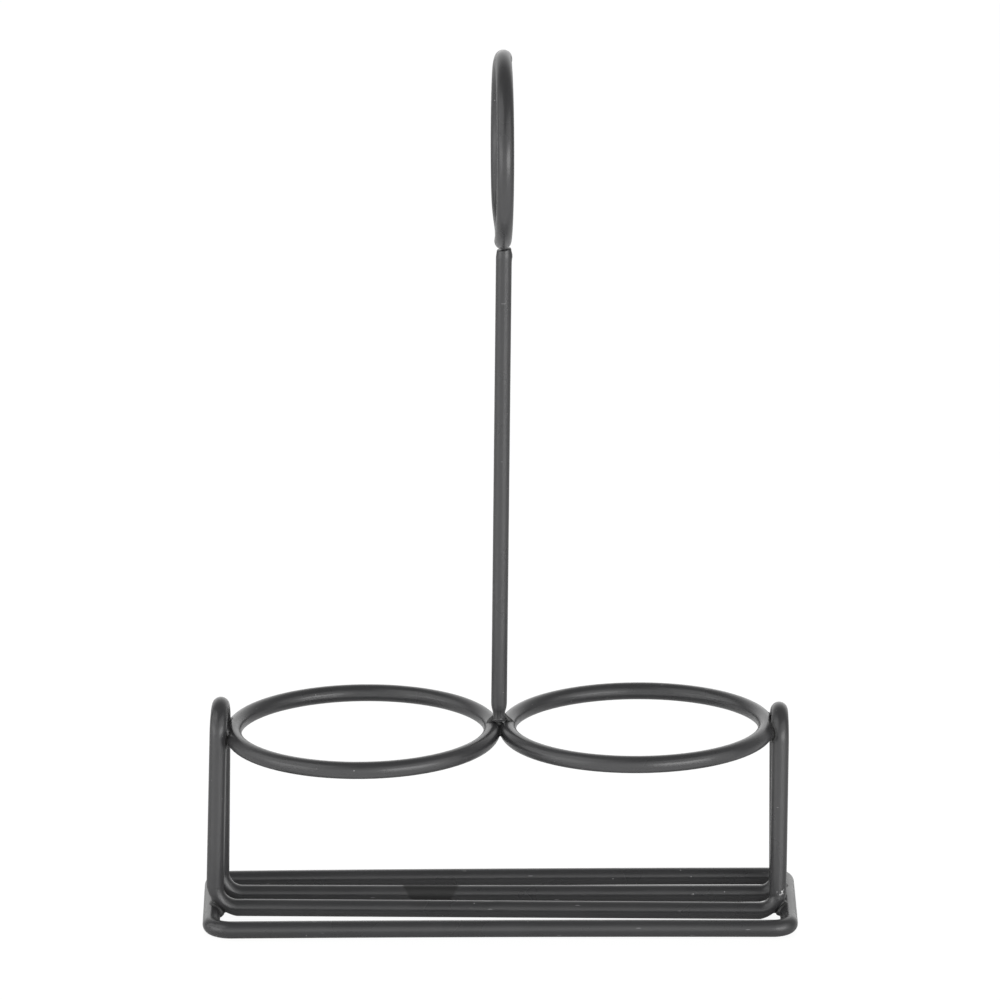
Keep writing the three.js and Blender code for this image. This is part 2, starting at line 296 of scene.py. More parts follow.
def cradle_path(sizes):
    """Middle line of a true cradle, its share of the way up the legs, and its share into a bend."""
    half = sizes.frame_wire / 2
    leg = sizes.cradle_width / 2 - half
    arch = sizes.cradle_depth / 2 - half
    low = sizes.cradle_low + half
    spring = sizes.cradle_high - half - arch
    rise = spring - low
    left, right = sizes.left_bend, sizes.right_bend
    run = WireRun((0, -arch, low), RIGHT)
    run.feed(leg - right).bend(right, UP, math.pi / 2)
    run.feed(rise - right).bend(arch, REAR, math.pi)
    run.feed(rise - right).bend(right, -RIGHT, math.pi / 2)
    run.feed(2 * leg - right - left).bend(left, UP, math.pi / 2)
    run.feed(rise - left).bend(arch, -REAR, math.pi)
    run.feed(rise - left).bend(left, RIGHT, math.pi / 2)
    run.feed(leg - left)
    points = run.closed()
    climb = (points[:, 2] - low) / rise
    bend = np.where(points[:, 0] < 0, left, right)
    into = np.arccos(np.clip(1 - (points[:, 2] - low) / bend, 0, 1))
    return points, climb, np.sin(2 * into)


def cradle_run(sizes, true):
    points, climb, _ = cradle_path(sizes)
    foot = np.array((true.upper_shift + true.cradle_shift, -true.cradle_forward, points[:, 2].min()))
    across = np.clip(2 * points[:, 0] / sizes.cradle_width, -1, 1)
    up = np.clip(climb, 0, 1)
    spread = (true.left_spread * (1 - across) + true.right_spread * (1 + across)) / 2
    bow = np.where(points[:, 1] > 0, true.runner_bow * (1 - across ** 2), 0)
    points[:, 1] += np.sign(points[:, 1]) * spread * (1 - up) - bow
    left_twist = true.left_foot_twist * (1 - up) + true.left_twist * up
    right_twist = true.right_foot_twist * (1 - up) + true.right_twist * up
    on_left = across < 0
    points[:, 0] -= np.tan(np.where(on_left, left_twist, right_twist)) * np.abs(across) * points[:, 1]
    points[:, 0] += foot[0] + np.where(on_left, true.left_lean, true.right_lean) * climb
    points[:, 1] += foot[1]
    points[:, 2] += np.where(on_left, true.left_rise, true.right_rise) * climb
    return set_out(points, foot, roll=true.cradle_roll, yaw=true.cradle_yaw)


def ring_run(sizes, true, end):
    radius = (sizes.ring_outside - sizes.frame_wire) / 2
    hand = "left" if end < 0 else "right"
    errors = ("shift", "lift", "roll", "pitch")
    shift, lift, roll, pitch = [getattr(true, f"{hand}_ring_{error}") for error in errors]
    middle = (end * sizes.ring_offset + true.upper_shift + shift, 0, sizes.ring_height)
    run = WireRun((middle[0], -radius, middle[2]), RIGHT)
    points = run.bend(radius, REAR, 2 * math.pi).closed()
    return set_out(points, middle, pitch=pitch, roll=roll, shift=(0, 0, lift))


def stem_ends(sizes, true):
    foot = Vector((true.upper_shift + true.stem_shift, 0, sizes.stem_foot))
    rise = sizes.stem_top - sizes.stem_foot
    return foot, foot + Vector((math.tan(true.stem_lean) * rise, 0, rise))


def loop_run(sizes, true):
    radius = (sizes.loop_outside - sizes.loop_wire) / 2
    run = WireRun((0, 0, -radius), REAR)
    points = run.bend(radius, UP, 2 * math.pi).closed()
    turn = np.arctan2(points[:, 1], -points[:, 2])
    foot = np.exp(-(((turn - LOOP_SPRING_AT) / LOOP_SPRING_WIDTH) ** 2))
    crown = np.exp(-(((math.pi - turn - LOOP_SPRING_AT) / LOOP_SPRING_WIDTH) ** 2))
    points[:, 0] += true.loop_spring * (foot + 0.5 * crown)
    over = stem_ends(sizes, true)[1].x + true.loop_shift
    points = set_out(points, (0, 0, 0), yaw=sizes.loop_turn)
    return set_out(points, (0, 0, 0), roll=true.loop_lean, shift=(over, 0, sizes.loop_middle))


# Skins

def swept(run, radius, pinch=None):
    """Skin of a closed wire: a round section carried along its run, flatter outside pinched bends."""
    before, after = np.roll(run, 1, 0), np.roll(run, -1, 0)
    ahead = after - before
    ahead /= np.linalg.norm(ahead, axis=1)[:, None]
    inward = before + after - 2 * run
    inward /= np.maximum(np.linalg.norm(inward, axis=1), 1e-12)[:, None]
    side = np.cross(ahead[0], (0, 0, 1)) if abs(ahead[0][2]) < 0.9 else np.cross(ahead[0], (1, 0, 0))
    verts = []
    for i, (place, heading) in enumerate(zip(run, ahead)):
        side = side - heading * (side @ heading)
        side = side / np.linalg.norm(side)
        up = np.cross(side, heading)
        thin = 0.0 if pinch is None else pinch[i]
        across = np.cross(heading, inward[i])
        for k in range(WIRE_SIDES):
            turn = 2 * math.pi * k / WIRE_SIDES
            out = radius * (math.cos(turn) * side + math.sin(turn) * up)
            out = out - thin * min(out @ inward[i], 0) * inward[i] + 0.25 * thin * (out @ across) * across
            verts.append(place + out)
    faces = []
    for i in range(len(run)):
        here, there = i * WIRE_SIDES, (i + 1) % len(run) * WIRE_SIDES
        for k in range(WIRE_SIDES):
            beside = (k + 1) % WIRE_SIDES
            faces.append((here + k, here + beside, there + beside, there + k))
    return verts, faces


def turned(profile, sides):
    """Skin turned about Z from radius and height pairs, closed by a point at both ends."""
    verts = [(0, 0, profile[0][1])]
    for radius, height in profile:
        for k in range(sides):
            turn = 2 * math.pi * k / sides
            verts.append((radius * math.cos(turn), radius * math.sin(turn), height))
    verts.append((0, 0, profile[-1][1]))
    last = len(verts) - 1
    faces = []
    for k in range(sides):
        after = (k + 1) % sides
        faces.append((0, 1 + after, 1 + k))
        for i in range(len(profile) - 1):
            low, high = 1 + i * sides, 1 + (i + 1) * sides
            faces.append((low + k, low + after, high + after, high + k))
        faces.append((last, last - sides + k, last - sides + after))
    return np.array(verts), faces


def from_run(places, run, radius):
    """How far each place lies outside a closed wire, whose radius may change along it."""
    middle = places.mean(0)
    spread = np.linalg.norm(places - middle, axis=1).max()
    radius = np.broadcast_to(radius, len(run))
    best = np.full(len(places), 1.0)
    for start, end, reach in zip(run, np.roll(run, -1, 0), radius):
        if np.linalg.norm((start + end) / 2 - middle) > spread + 3 * reach:
            continue
        best = np.minimum(best, from_rod(places, start, end, reach))
    return best


def from_rod(places, start, end, radius):
    """How far each place lies outside a straight rod with round ends."""
    start, along = np.array(start), np.array(end) - np.array(start)
    part = np.clip((places - start) @ along / (along @ along), 0, 1)
    return np.linalg.norm(places - start - part[:, None] * along, axis=1) - radius


def fused(first, second, fillet):
    """Two skins that run into each other with a fillet between them."""
    near = np.maximum(fillet - np.abs(first - second), 0) / fillet
    return np.minimum(first, second) - near * near * fillet / 4


def weld_metal(first, second, fillet):
    """Weld that fills the crevice between two skins and dips under both away from it, with its fullness."""
    full = (np.maximum(fillet - np.abs(first - second), 0) / fillet) ** 2
    return fused(first, second, fillet) + WELD_SINK + WELD_DIP * (1 - full), full


def lumps(places, size, height):
    """Unevenness of weld metal."""
    p = places * (2 * math.pi / size)
    waves = np.sin(p[:, 0] + 1.3 * np.sin(p[:, 1])) + np.sin(1.31 * p[:, 1] + 1.7 * np.sin(0.9 * p[:, 2]))
    return height / 3 * (waves + np.sin(1.13 * p[:, 2] + 1.1 * np.sin(1.2 * p[:, 0])))


def undercut(outside, at, width, depth):
    """Groove along the toe of a weld, a little outside the wire that it runs into."""
    return depth * np.exp(-(((outside - at) / width) ** 2))


class WeldSpot:
    """Square grid of places round the middle of a weld, where its metal is laid down."""

    def __init__(self, middle, reach):
        self.middle, self.reach = np.array(middle), reach
        steps = int(math.ceil(2 * reach / WELD_GRID)) + 3
        self.shape = (steps, steps, steps)
        self.low = self.middle - WELD_GRID * (steps - 1) / 2
        ticks = np.arange(steps) * WELD_GRID
        grid = np.meshgrid(ticks, ticks, ticks, indexing="ij")
        self.places = np.stack(grid, -1).reshape(-1, 3) + self.low

    def make(self, field, name, node, finish, squash=1.0):
        """Weld piece where the field is under zero, kept within reach of the middle."""
        away = np.linalg.norm((self.places - self.middle) / (1, 1, squash), axis=1) - self.reach
        verts, faces = cast(np.maximum(field, away), self.shape, self.low)
        piece(name, verts, faces, weld_coat(finish), [node])


def cast(field, shape, low):
    """Skin where a field of distances on a grid passes through zero, with one point in each crossed cell."""
    field = field.reshape(shape).copy()
    for axis in (0, 1, 2) * FIELD_SMOOTHINGS:
        along = np.moveaxis(field, axis, 0)
        along[1:-1] = (along[:-2] + 2 * along[1:-1] + along[2:]) / 4
    cells = tuple(n - 1 for n in shape)
    total = np.zeros(cells + (3,))
    count = np.zeros(cells)
    for axis in range(3):
        along = np.moveaxis(field, axis, 0)
        near, far = [np.moveaxis(ends, 0, axis) for ends in (along[:-1], along[1:])]
        crosses = (near < 0) != (far < 0)
        part = np.where(crosses, near / np.where(crosses, near - far, 1), 0)
        others = [other for other in range(3) if other != axis]
        for first in (0, 1):
            for second in (0, 1):
                cut = [slice(None)] * 3
                cut[others[0]] = slice(first, shape[others[0]] - 1 + first)
                cut[others[1]] = slice(second, shape[others[1]] - 1 + second)
                crossed = crosses[tuple(cut)]
                count += crossed
                total[..., axis] += part[tuple(cut)]
                total[..., others[0]] += crossed * first
                total[..., others[1]] += crossed * second
    active = count > 0
    ids = np.full(cells, -1)
    ids[active] = np.arange(active.sum())
    corners = np.stack(np.nonzero(active), 1)
    verts = np.array(low) + WELD_GRID * (corners + total[active] / count[active][:, None])
    faces = []
    for axis in range(3):
        order = (axis, (axis + 1) % 3, (axis + 2) % 3)
        inside = field.transpose(order)[:, 1:-1, 1:-1] < 0
        cell = ids.transpose(order)
        around = [cell[:, :-1, :-1], cell[:, 1:, :-1], cell[:, 1:, 1:], cell[:, :-1, 1:]]
        quads = np.stack(around, -1)
        faces += quads[inside[:-1] & ~inside[1:]].tolist()
        faces += quads[~inside[:-1] & inside[1:]][:, ::-1].tolist()
    return largest_part(verts, np.array(faces))


def largest_part(verts, faces):
    """The largest connected part of a skin, without loose crumbs."""
    label = np.arange(len(verts))
    while True:
        lower = label.copy()
        np.minimum.at(lower, faces, label[faces].min(1)[:, None])
        lower = lower[lower]
        if (lower == label).all():
            break
        label = lower
    part = label[faces[:, 0]]
    labels, counts = np.unique(part, return_counts=True)
    kept = faces[part == labels[counts.argmax()]]
    used, again = np.unique(kept, return_inverse=True)
    return verts[used], again.reshape(kept.shape).tolist()


def piece(name, verts, faces, coat, nodes):
    """A smooth mesh piece that stands for its nodes of the frame and rides with the stand."""
    mesh = bpy.data.meshes.new(name)
    skin = bmesh.new()
    corners = [skin.verts.new(vert) for vert in verts]
    for face in faces:
        skin.faces.new([corners[i] for i in face]).smooth = True
    bmesh.ops.recalc_face_normals(skin, faces=skin.faces)
    skin.to_mesh(mesh)
    skin.free()
    mesh.materials.append(coat)
    made = bpy.data.objects.new(name, mesh)
    bpy.context.scene.collection.objects.link(made)
    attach(made, "root")
    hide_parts(*nodes)


# Coats

def give(tree, value, socket):
    """Links a socket to an output, or sets a plain value on it."""
    if isinstance(value, bpy.types.NodeSocket):
        tree.links.new(value, socket)
    else:
        socket.default_value = value


def add(tree, kind, given=None, **settings):
    """Node with its settings, and with its inputs given by name or number."""
    node = tree.nodes.new(kind)
    for key, value in settings.items():
        setattr(node, key, value)
    for key, value in (given or {}).items():
        give(tree, value, node.inputs[key])
    return node


def reckon(tree, operation, *values):
    """Result of a maths node that is given outputs or numbers."""
    return add(tree, "ShaderNodeMath", dict(enumerate(values)), operation=operation).outputs[0]


def ranged(tree, value, low, high, start=0.0, end=1.0, kind="LINEAR"):
    """Value that goes from low to high while the given one goes from start to end."""
    given = {"Value": value, "From Min": start, "From Max": end, "To Min": low, "To Max": high}
    return add(tree, "ShaderNodeMapRange", given, interpolation_type=kind).outputs["Result"]


def object_place(tree):
    return add(tree, "ShaderNodeTexCoord").outputs["Object"]


def scaled_place(tree, size):
    """Object coordinates counted in waves of the given size."""
    given = {0: object_place(tree), "Scale": 1 / size}
    return add(tree, "ShaderNodeVectorMath", given, operation="SCALE").outputs["Vector"]


def split(tree, place):
    """The three parts of a place."""
    parts = add(tree, "ShaderNodeSeparateXYZ", {"Vector": place}).outputs
    return parts["X"], parts["Y"], parts["Z"]


def noise(tree, place, scale=1.0, detail=2.0, rough=0.5):
    given = {"Vector": place, "Scale": scale, "Detail": detail, "Roughness": rough}
    return add(tree, "ShaderNodeTexNoise", given, noise_dimensions="3D").outputs["Fac"]


def spots(tree, place):
    """Distance from scattered points, and a colour for each point."""
    given = {"Vector": place, "Scale": 1.0}
    texture = add(tree, "ShaderNodeTexVoronoi", given, feature="F1", voronoi_dimensions="3D")
    return texture.outputs["Distance"], texture.outputs["Color"]


def between(tree, mask, first, second):
    """Colour that goes from the first to the second where the mask is 1."""
    first, second = [
        tone if isinstance(tone, bpy.types.NodeSocket) else (*tone, 1.0) for tone in (first, second)
    ]
    given = {"Factor": mask, 6: first, 7: second}
    return add(tree, "ShaderNodeMix", given, data_type="RGBA").outputs[2]


def new_group(name, given, put):
    """Node group with named inputs and their defaults and named outputs, and its two ends."""
    tree = bpy.data.node_groups.new(name, "ShaderNodeTree")
    for label, default in given:
        socket = tree.interface.new_socket(label, in_out="INPUT", socket_type="NodeSocketFloat")
        socket.default_value = default
    for label in put:
        tree.interface.new_socket(label, in_out="OUTPUT", socket_type="NodeSocketFloat")
    return tree, add(tree, "NodeGroupInput").outputs, add(tree, "NodeGroupOutput").inputs


def powder_grain():
    """Group: orange peel and cloudiness of a sprayed and baked powder coat."""
    name = "Powder grain"
    if name in bpy.data.node_groups:
        return bpy.data.node_groups[name]
    sizes = (("Peel Size", 1.1 * MM), ("Cloud Size", 14 * MM))
    tree, given, put = new_group(name, sizes, ("Height", "Cloud", "Grain"))
    place = object_place(tree)
    peel = noise(tree, place, reckon(tree, "DIVIDE", 1.0, given["Peel Size"]), detail=1.5, rough=0.45)
    cloud = noise(tree, place, reckon(tree, "DIVIDE", 1.0, given["Cloud Size"]))
    grain = noise(tree, scaled_place(tree, 0.18 * MM), detail=1.0)
    give(tree, reckon(tree, "MULTIPLY_ADD", grain, 0.18, peel), put["Height"])
    give(tree, cloud, put["Cloud"])
    give(tree, grain, put["Grain"])
    return tree


def handling_marks():
    """Group: sparse dust specks and short rubbed scratches on the coat."""
    name = "Handling marks"
    if name in bpy.data.node_groups:
        return bpy.data.node_groups[name]
    shares = (("Speck Share", 0.02), ("Scratch Share", 0.02))
    tree, given, put = new_group(name, shares, ("Specks", "Scratches"))

    def sparse(place, edge, allowed):
        distance, tint = spots(tree, place)
        near = ranged(tree, distance, 0.0, 1.0, edge, 0.45 * edge, "SMOOTHSTEP")
        red = add(tree, "ShaderNodeSeparateColor", {"Color": tint}).outputs["Red"]
        return reckon(tree, "MULTIPLY", near, reckon(tree, "LESS_THAN", red, allowed))

    give(tree, sparse(scaled_place(tree, 1.5 * MM), 0.14, given["Speck Share"]), put["Specks"])
    long = {"Vector": scaled_place(tree, 2.2 * MM), "Rotation": (0.6, 0.4, 0.9), "Scale": (0.5, 4.0, 4.0)}
    lines = add(tree, "ShaderNodeMapping", long).outputs["Vector"]
    give(tree, sparse(lines, 0.22, given["Scratch Share"]), put["Scratches"])
    return tree


def grouped(tree, group, **values):
    """Outputs of a node group with the given input values."""
    node = add(tree, "ShaderNodeGroup", node_tree=group)
    for key, value in values.items():
        node.inputs[key.replace("_", " ").title()].default_value = value
    return node.outputs


def dark_patch_mask(tree):
    """Where the cradle's coat is darker and rougher: a patch with slanting ends at the rear."""
    along, rearward, up = split(tree, object_place(tree))
    ragged = ranged(tree, noise(tree, scaled_place(tree, 2 * MM)), -0.6 * MM, 0.6 * MM)
    slant = reckon(tree, "MULTIPLY_ADD", up, -0.6, ragged)
    far = reckon(tree, "ABSOLUTE", reckon(tree, "SUBTRACT", along, DARK_PATCH_MIDDLE))
    inside = ranged(tree, reckon(tree, "ADD", far, slant), 1.0, 0.0, 4.0 * MM, 4.9 * MM)
    behind = ranged(tree, rearward, 0.0, 1.0, 1 * MM, 2 * MM)
    return reckon(tree, "MULTIPLY", inside, behind)


def fleck_mask(tree):
    """Where weld spatter broke the coat on the front right bend: a cluster of small bright flecks."""
    given = {0: object_place(tree), 1: FLECK_MIDDLE}
    off = add(tree, "ShaderNodeVectorMath", given, operation="DISTANCE").outputs["Value"]
    near = ranged(tree, off, 1.0, 0.0, 0.4 * MM, 1.5 * MM)
    distance, _ = spots(tree, scaled_place(tree, 0.8 * MM))
    return reckon(tree, "MULTIPLY", near, ranged(tree, distance, 1.0, 0.0, 0.2, 0.45))


def powder_coat(name, base, roughness, finish, peel=1.0, dark_patch=None):
    """Material: powder coat with orange peel, slight clouds, dust specks and scratches."""
    if name in bpy.data.materials:
        return bpy.data.materials[name]
    coat = bpy.data.materials.new(name)
    coat.use_nodes = True
    coat.diffuse_color = (*base, 1.0)
    tree = coat.node_tree
    shader = tree.nodes["Principled BSDF"]
    grain = grouped(tree, powder_grain(), peel_size=finish.peel_size)
    marks = grouped(tree, handling_marks(), speck_share=0.02, scratch_share=0.02)
    deep, pale, dusty = [tuple(times * part for part in base) for times in (0.86, 1.14, 1.5)]
    tone = between(tree, grain["Cloud"], deep, pale)
    tone = between(tree, ranged(tree, grain["Grain"], 0.0, 0.35, start=0.45, end=0.75), tone, dusty)
    rough = ranged(tree, grain["Cloud"], roughness - 0.05, roughness + 0.05, start=0.3, end=0.7)
    # Darker, rougher patch with slanting ends on the rear runner
    if dark_patch is not None:
        mask = dark_patch_mask(tree)
        tone = between(tree, mask, tone, dark_patch)
        rough = reckon(tree, "MULTIPLY_ADD", mask, 0.3, rough)
    faint = reckon(tree, "MULTIPLY", marks["Scratches"], 0.5)
    tone = between(tree, reckon(tree, "MAXIMUM", marks["Specks"], faint), tone, tuple(finish.mark_colour))
    if dark_patch is not None:
        tone = between(tree, fleck_mask(tree), tone, tuple(2 * part for part in finish.mark_colour))
    give(tree, tone, shader.inputs["Base Color"])
    give(tree, rough, shader.inputs["Roughness"])
    waves = {"Height": grain["Height"], "Distance": finish.peel_depth * peel, "Strength": 1.0}
    give(tree, add(tree, "ShaderNodeBump", waves).outputs["Normal"], shader.inputs["Normal"])
    return coat


def wire_coat(finish):
    return powder_coat("Satin black wire coat", finish.wire_colour, finish.wire_roughness, finish)


def cradle_coat(finish):
    patch = tuple(finish.dark_patch_colour)
    return powder_coat(
        "Satin black cradle coat", finish.wire_colour, finish.wire_roughness, finish, dark_patch=patch
    )


def weld_coat(finish):
    return powder_coat("Dull black weld coat", finish.weld_colour, finish.weld_roughness, finish, peel=2.0)


# Pieces

class StandOperator:
    """What the building operators share: the settings kept in the scene."""

    bl_options = {"REGISTER", "UNDO"}

    def read(self, context):
        scene = context.scene
        self.sizes = scene.cruet_wire_sizes
        self.true = scene.cruet_out_of_true
        self.finish = scene.cruet_coat_finish

    def wire(self, node, run, thickness, coat, pinch=None):
        """A wire along a run, which stands for one node of the frame."""
        verts, faces = swept(run, thickness / 2, pinch)
        piece(node + "_wire", verts, faces, coat, [node])


class CRUET_OT_base_frame(StandOperator, bpy.types.Operator):
    """Bends the base frame that lies on the table"""

    bl_idname = "cruet.base_frame"
    bl_label = "Base Frame"

    def execute(self, context):
        self.read(context)
        run = base_run(self.sizes, self.true)
        self.wire("base_frame", run, self.sizes.frame_wire, wire_coat(self.finish))
        return {"FINISHED"}


class CRUET_OT_cradle(StandOperator, bpy.types.Operator):
    """Bends the cradle: two runners that rise into a hairpin at each end"""

    bl_idname = "cruet.cradle"
    bl_label = "Cradle"

    def execute(self, context):
        self.read(context)
        pinch = self.sizes.bend_pinch * cradle_path(self.sizes)[2]
        run = cradle_run(self.sizes, self.true)
        self.wire("cradle", run, self.sizes.frame_wire, cradle_coat(self.finish), pinch)
        return {"FINISHED"}


class CRUET_OT_bottle_rings(StandOperator, bpy.types.Operator):
    """Rolls the two rings that hold the bottles"""

    bl_idname = "cruet.bottle_rings"
    bl_label = "Bottle Rings"

    def execute(self, context):
        self.read(context)
        for name, end in (("left_ring", -1), ("right_ring", 1)):
            run = ring_run(self.sizes, self.true, end)
            self.wire(name, run, self.sizes.frame_wire, wire_coat(self.finish))
        return {"FINISHED"}


class CRUET_OT_stem(StandOperator, bpy.types.Operator):
    """Cuts the stem, necked over its upset foot, with a slanting top and a burr on its edge"""

    bl_idname = "cruet.stem"
    bl_label = "Stem"

    def execute(self, context):
        self.read(context)
        foot, top = stem_ends(self.sizes, self.true)
        radius = self.sizes.stem_rod / 2
        rise = top.z - foot.z
        profile = [(across * MM, height * MM) for across, height in STEM_FOOT]
        profile += [(radius, STEM_SHOULDER)]
        profile += [(radius, rise * part) for part in np.linspace(0.07, 0.96, 24)]
        profile += [(part * radius, rise - drop * MM) for part, drop in STEM_HEAD]
        verts, faces = turned(profile, WIRE_SIDES)
        self.cut(verts, rise)
        verts[:, 0] += verts[:, 2] * math.tan(self.true.stem_lean)
        verts += np.array(foot)
        piece("stem_rod", verts, faces, wire_coat(self.finish), ["stem"])
        return {"FINISHED"}

    def cut(self, verts, rise):
        """Slants the top of the stem and raises a burr on the right of its edge."""
        up = np.clip((verts[:, 2] - rise) / CUT_DEPTH + 1, 0, 1)
        turn = np.arctan2(verts[:, 1], verts[:, 0])
        burr = np.exp(-(((verts[:, 2] - rise + BURR_DEPTH) / MM) ** 2)) * np.exp(-((turn / BURR_WIDTH) ** 2))
        verts[:, 0] *= 1 + BURR_SWELL * burr
        verts[:, 2] += up * math.tan(self.true.stem_cut) * verts[:, 0]


class CRUET_OT_handle_loop(StandOperator, bpy.types.Operator):
    """Rolls the handle loop that stands on edge on the stem"""

    bl_idname = "cruet.handle_loop"
    bl_label = "Handle Loop"

    def execute(self, context):
        self.read(context)
        run = loop_run(self.sizes, self.true)
        self.wire("handle_loop", run, self.sizes.loop_wire, wire_coat(self.finish))
        return {"FINISHED"}


def closest(first, second):
    """Middle of the shortest line between two runs, seen from their points."""
    gaps = np.linalg.norm(first[:, None] - second[None], axis=2)
    i, j = np.unravel_index(gaps.argmin(), gaps.shape)
    return (first[i] + second[j]) / 2


class CRUET_OT_base_welds(StandOperator, bpy.types.Operator):
    """Welds the cradle's bends to the end wires of the base"""

    bl_idname = "cruet.base_welds"
    bl_label = "Base Welds"

    def execute(self, context):
        self.read(context)
        cradle = cradle_run(self.sizes, self.true)
        base = base_run(self.sizes, self.true)
        for end_name, end, run_in in (("left", -1, 0.55 * MM), ("right", 1, 0.3 * MM)):
            # Inward and down from the contact, between the two wires
            wedge = Vector((-0.5 * end, 0, -0.866))
            for side_name, side in (("front", -1), ("rear", 1)):
                corner = cradle[(cradle[:, 0] * end > 0) & (cradle[:, 1] * side > 0)]
                self.weld(cradle, base, closest(corner, base), wedge, run_in, f"{side_name}_{end_name}")
        return {"FINISHED"}

    def weld(self, cradle, base, middle, wedge, run_in, place):
        """A thin weld round the contact, with a bead of the given half thickness in the wedge under it."""
        half = self.sizes.frame_wire / 2
        spot = WeldSpot(middle, reach=4.8 * MM)
        pinched = half * (1 - 0.7 * self.sizes.bend_pinch * cradle_path(self.sizes)[2])
        from_cradle = from_run(spot.places, cradle, pinched)
        from_base = from_run(spot.places, base, half)
        field, full = weld_metal(from_cradle, from_base, fillet=2.6 * MM)
        bead = Vector(middle) + wedge * (1.2 * MM + 1.25 * run_in)
        along = REAR * 1.5 * MM
        field = fused(field, from_rod(spot.places, bead - along, bead + along, run_in), fillet=1.8 * MM)
        toes = undercut(from_cradle, at=0.25 * MM, width=0.2 * MM, depth=0.3 * MM)
        field = field + full * (toes + lumps(spot.places, size=1.7 * MM, height=0.06 * MM))
        over_table = 0.1 * MM
        field = np.maximum(field, over_table - spot.places[:, 2])
        spot.make(field, "base_weld_" + place, "weld_base_" + place, self.finish)


class CRUET_OT_ring_welds(StandOperator, bpy.types.Operator):
    """Welds the rings to the legs of the hairpins"""

    bl_idname = "cruet.ring_welds"
    bl_label = "Ring Welds"

    def execute(self, context):
        self.read(context)
        cradle = cradle_run(self.sizes, self.true)
        for end_name, end in (("left", -1), ("right", 1)):
            ring = ring_run(self.sizes, self.true, end)
            for side_name, side, reach in (("front", -1, 3.8 * MM), ("rear", 1, 2.4 * MM)):
                leg = cradle[(cradle[:, 0] * end > 0) & (cradle[:, 1] * side > 1 * MM)]
                self.weld(cradle, ring, WeldSpot(closest(leg, ring), reach), f"{side_name}_{end_name}")
        return {"FINISHED"}

    def weld(self, cradle, ring, spot, place):
        half = self.sizes.frame_wire / 2
        from_leg = from_run(spot.places, cradle, half)
        from_ring = from_run(spot.places, ring, half)
        field, full = weld_metal(from_leg, from_ring, fillet=2.8 * MM)
        toe = {"at": 0.22 * MM, "width": 0.2 * MM, "depth": 0.42 * MM}
        toes = undercut(from_leg, **toe) + undercut(from_ring, **toe)
        field = field + full * (toes + lumps(spot.places, size=1.5 * MM, height=0.08 * MM))
        spot.make(field, "ring_weld_" + place, "weld_ring_" + place, self.finish)


class CRUET_OT_centre_weld(StandOperator, bpy.types.Operator):
    """Welds the rings to each other and the stem on top of them"""

    bl_idname = "cruet.centre_weld"
    bl_label = "Centre Weld"

    def execute(self, context):
        self.read(context)
        foot, _ = stem_ends(self.sizes, self.true)
        spot = WeldSpot((foot.x, 0, self.sizes.ring_height + 1.2 * MM), reach=6.0 * MM)
        half = self.sizes.frame_wire / 2
        left, right = [from_run(spot.places, ring_run(self.sizes, self.true, end), half) for end in (-1, 1)]
        field, _ = weld_metal(left, right, fillet=1.0 * MM)
        core = from_rod(spot.places, foot - UP * 1.4 * MM, foot + UP * 0.2 * MM, radius=0.95 * MM)
        field = fused(field, core, fillet=0.5 * MM)
        for start, end in self.skirt(foot):
            flank = from_rod(spot.places, start, end, radius=0.38 * MM)
            field = fused(field, flank, fillet=1.0 * MM)
        field = field + lumps(spot.places, size=1.6 * MM, height=0.02 * MM)
        spot.make(field, "centre_weld", "weld_centre", self.finish, squash=0.8)
        return {"FINISHED"}

    def skirt(self, foot):
        """Flanks of weld metal from the neck of the stem down over the rings, as the ends of short rods."""
        right = [(1.2, 0.6, 2.2), (1.8, 0.6, 1.1), (2.5, 0.7, 0.3), (3.3, 0.9, -0.4), (4.2, 1.2, -1.3)]
        left = [(-1.2, 0.5, 1.5), (-1.8, 0.4, 0.6), (-2.4, 0.3, 0.0), (-3.1, 0.1, -0.7)]
        for chain in (right, left):
            places = [foot + Vector(step) * MM for step in chain]
            yield from zip(places, places[1:])


class CRUET_OT_loop_weld(StandOperator, bpy.types.Operator):
    """Welds the handle loop to the top of the stem"""

    bl_idname = "cruet.loop_weld"
    bl_label = "Loop Weld"

    def execute(self, context):
        self.read(context)
        loop = loop_run(self.sizes, self.true)
        _, top = stem_ends(self.sizes, self.true)
        under = loop[loop[:, 2].argmin()]
        spot = WeldSpot((np.array(top) + under) / 2, reach=2.2 * MM)
        wire = from_run(spot.places, loop, self.sizes.loop_wire / 2)
        nub = from_rod(spot.places, top - UP * 0.9 * MM, under, radius=0.55 * MM)
        field = fused(wire + 2 * WELD_SINK, nub, fillet=0.3 * MM)
        field = field + lumps(spot.places, size=1.2 * MM, height=0.05 * MM)
        spot.make(field, "loop_weld", "weld_loop", self.finish)
        return {"FINISHED"}


# Stage

# Floor: its painted bounce glow on the stand's front, the share of plain white in the picture, and that
# white's strength
FLOOR_GLOW = 0.55
WHITE_SHARE = 0.88
WHITE_GLOW = 1.06

# Lamps: their distance from the stand, and the height they are turned to
LAMP_DISTANCE = 1.3
LAMP_AIM = 0.08

# Soft boxes: name, degrees to the right of the front, degrees up, width, height and glow
SOFT_BOXES = (
    ("Right low soft box", 37.5, 8, 1.12, 0.5, 5.26),
    ("Right side soft box", 75, 19, 0.56, 1.0, 1.15),
    ("Right high soft box", 40, 36, 1.10, 0.7, 1.15),
    ("Front low soft box", -12.5, 8, 1.12, 0.5, 1.38),
    ("Front high soft box", -12.5, 30, 1.12, 0.5, 0.78),
    ("Left low soft box", -62.5, 8, 1.12, 0.5, 2.89),
    ("Left high soft box", -62.5, 42, 1.0, 1.0, 1.50),
    ("Left side soft box", -100, 19, 0.56, 1.0, 1.32),
)


